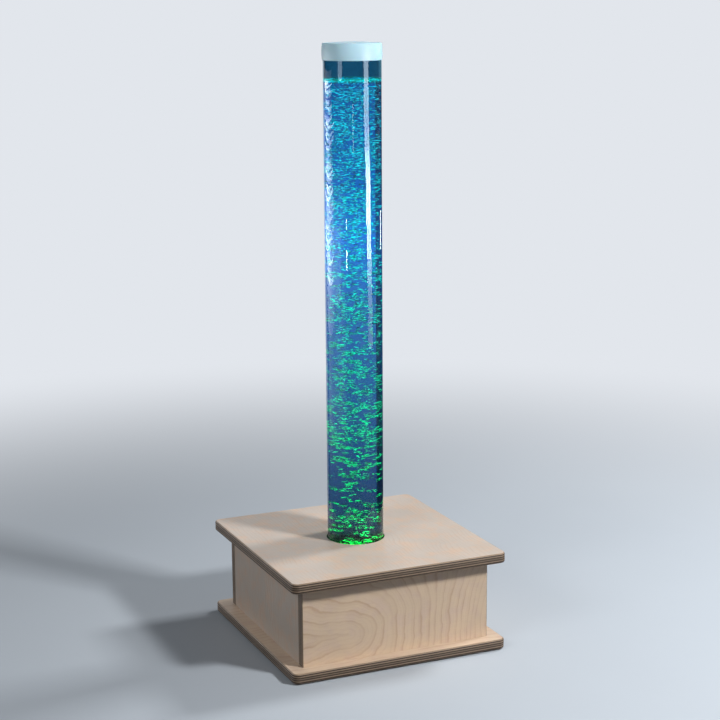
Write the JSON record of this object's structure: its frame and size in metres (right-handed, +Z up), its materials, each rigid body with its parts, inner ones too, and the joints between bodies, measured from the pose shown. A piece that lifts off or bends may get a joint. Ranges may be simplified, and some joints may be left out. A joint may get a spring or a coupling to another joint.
{
  "type": "portable bubble tube lamp",
  "caption": "Clear water column lit from below with rising air bubbles, closed by a lift-off vented cap, on a square plywood plinth that hides the pump, lights and drain.",
  "frame": {"origin": "on the floor, under the axis of the tube and the middle of the square base", "axes": "+Z up along the tube; -Y is the front panel's side, +Y the back with the socket, switch and drain tap; +X to the right seen from the front"},
  "size_m": [0.4, 0.4, 1.0511],
  "materials": {
    "birch_plywood": "pale birch plywood, light satin lacquer, plies bare on the edges",
    "softwood": "planed, bare",
    "clear_acrylic": "clear and polished",
    "lit_water": "clear water lit blue and green from below",
    "bubble_air": "swarms of air bubbles in the water, lit green low down and cyan near the surface",
    "white_plastic": "smooth white",
    "black_rubber": "dull",
    "black_plastic": "fine moulded grain",
    "nylon": "natural, satin",
    "circuit_board": "solder mask",
    "aluminium": "plain mill finish",
    "zinc_steel": "zinc plated",
    "pump_plastic": "moulded, satin",
    "copper_winding": "enamelled copper wire",
    "magnet": "sintered, dark grey",
    "silicone_hose": "translucent",
    "lead_jacket": "smooth jacket"
  },
  "bodies": {
    "plinth": {"base_board": "birch_plywood", "lid_board": "birch_plywood", "front_panel": "birch_plywood", "back_panel": "birch_plywood", "left_panel": "birch_plywood", "right_panel": "birch_plywood", "corner_batten_1": "softwood", "corner_batten_2": "softwood", "corner_batten_3": "softwood", "corner_batten_4": "softwood", "acrylic_tube": "clear_acrylic", "tube_flange": "clear_acrylic", "water_column": "lit_water", "bubble_swarms": "bubble_air", "foot_1": "black_rubber", "foot_2": "black_rubber", "foot_3": "black_rubber", "foot_4": "black_rubber", "tube_grommet": "black_rubber", "pump_diaphragm": "black_rubber", "drain_tap_body": "black_plastic", "drain_spout": "black_plastic", "power_socket": "black_plastic", "switch_frame": "black_plastic", "air_nozzle": "nylon", "nozzle_nut": "nylon", "air_elbow": "nylon", "drain_strainer": "nylon", "drain_nut": "nylon", "drain_elbow": "nylon", "check_valve": "nylon", "pump_valve_block": "nylon", "board_carrier": "nylon", "light_board": "circuit_board", "control_board": "circuit_board", "light_heat_sink": "aluminium", "flange_pillar_1": "zinc_steel", "flange_pillar_2": "zinc_steel", "flange_pillar_3": "zinc_steel", "flange_screw_1": "zinc_steel", "flange_screw_2": "zinc_steel", "flange_screw_3": "zinc_steel", "pump_core": "zinc_steel", "pump_pivot_pin": "zinc_steel", "pump_tray": "pump_plastic", "pump_cover": "pump_plastic", "pump_coil": "copper_winding", "pump_air_hose": "silicone_hose", "tube_air_hose": "silicone_hose", "drain_hose": "silicone_hose", "socket_lead": "lead_jacket", "switch_lead": "lead_jacket", "light_lead": "lead_jacket", "pump_lead": "lead_jacket"},
    "cap": {"cap_ring": "white_plastic", "cap_vent_disc": "white_plastic"},
    "switch_rocker": {"switch_rocker": "black_plastic"},
    "drain_lever": {"drain_lever": "black_plastic"},
    "pump_arm": {"pump_arm": "zinc_steel", "pump_magnet": "magnet"}
  },
  "joints": [
    {"name": "cap_lift", "type": "slide", "parent": "plinth", "child": "cap", "axis": [0, 0, 1], "range_m": [0, 0.06]},
    {"name": "switch_rock", "type": "hinge", "parent": "plinth", "child": "switch_rocker", "pos_m": [-0.102, 0.1751, 0.0603], "axis": [1, 0, 0], "range_deg": [-16, 0]},
    {"name": "drain_turn", "type": "hinge", "parent": "plinth", "child": "drain_lever", "pos_m": [0.06, 0.1896, 0.0603], "axis": [0, 1, 0], "range_deg": [0, 90]},
    {"name": "pump_arm_swing", "type": "hinge", "parent": "plinth", "child": "pump_arm", "pos_m": [0.118, 0.029, 0.0474], "axis": [1, 0, 0], "range_deg": [-2.5, 2.5], "stiffness_Nm_per_rad": 6, "deforming": ["pump_diaphragm"]}
  ]
}
